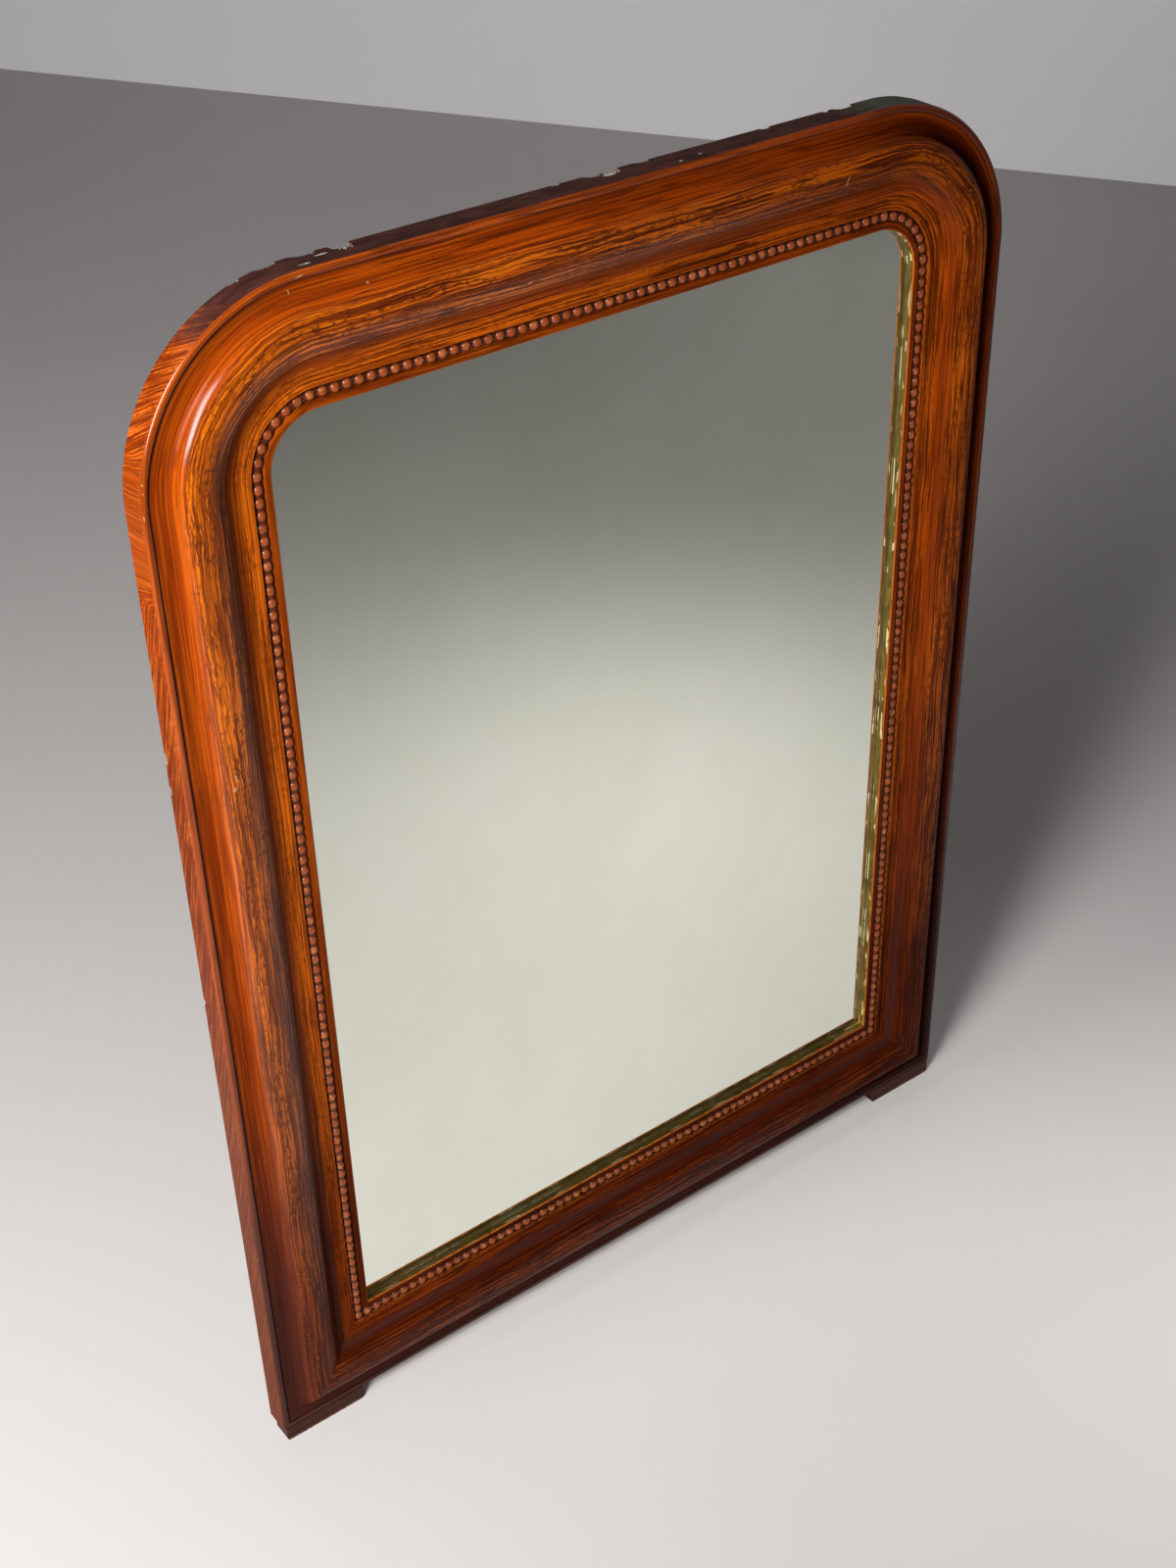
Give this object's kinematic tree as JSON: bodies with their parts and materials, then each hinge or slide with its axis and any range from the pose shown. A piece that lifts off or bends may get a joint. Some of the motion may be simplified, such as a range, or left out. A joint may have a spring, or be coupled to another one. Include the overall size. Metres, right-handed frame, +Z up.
{
  "type": "faux bois mirror",
  "caption": "Upright mirror with rounded top corners in a deep moulded frame painted in imitation wood grain, with a bead string, a gilt slip and low feet.",
  "frame": {"origin": "middle of the mirror's width and depth, on the surface it stands on", "axes": "+X to the right as seen from the front, +Y to the back, +Z up"},
  "size_m": [0.7, 0.0406, 0.9355],
  "materials": {
    "faux_bois_paint": "imitation wood grain in orange-brown paint, semi-gloss varnish, small chips",
    "carcass_pine": "pine, painted like the moulding on its outer faces and bare behind",
    "painted_foot": "brown paint over pine, worn",
    "copper_brown_paint": "copper-brown paint, glossy varnish",
    "gilding": "worn gilding, satin",
    "mirror_glass": "silvered glass, lightly aged",
    "bare_pine": "bare aged pine",
    "dark_iron": "darkened iron"
  },
  "bodies": {
    "frame": {"stile_left": "carcass_pine", "stile_right": "carcass_pine", "rail_top": "carcass_pine", "rail_bottom": "carcass_pine", "corner_block_left": "carcass_pine", "corner_block_right": "carcass_pine", "foot_left": "painted_foot", "foot_right": "painted_foot", "moulding_left": "faux_bois_paint", "moulding_right": "faux_bois_paint", "moulding_top": "faux_bois_paint", "moulding_bottom": "faux_bois_paint", "moulding_corner_left": "faux_bois_paint", "moulding_corner_right": "faux_bois_paint", "beads_left": "copper_brown_paint", "beads_right": "copper_brown_paint", "beads_top": "copper_brown_paint", "beads_bottom": "copper_brown_paint", "beads_corner_left": "copper_brown_paint", "beads_corner_right": "copper_brown_paint", "slip_left": "gilding", "slip_right": "gilding", "slip_top": "gilding", "slip_bottom": "gilding", "slip_corner_left": "gilding", "slip_corner_right": "gilding", "mirror_plate": "mirror_glass", "backboard_left": "bare_pine", "backboard_middle": "bare_pine", "backboard_right": "bare_pine", "glazing_blocks": "bare_pine", "corner_dowels": "bare_pine", "backboard_nails": "dark_iron", "foot_nails": "dark_iron", "hanger_strap_left": "dark_iron", "hanger_strap_right": "dark_iron", "hanger_screws": "dark_iron"},
    "ring_left": {"hanger_ring_left": "dark_iron"},
    "ring_right": {"hanger_ring_right": "dark_iron"}
  },
  "joints": [
    {"name": "ring_left_swing", "type": "hinge", "parent": "frame", "child": "ring_left", "pos_m": [-0.3159, 0.01615, 0.7035], "axis": [1, 0, 0], "range_deg": [0, 175]},
    {"name": "ring_right_swing", "type": "hinge", "parent": "frame", "child": "ring_right", "pos_m": [0.3159, 0.01615, 0.7035], "axis": [1, 0, 0], "range_deg": [0, 175]}
  ]
}
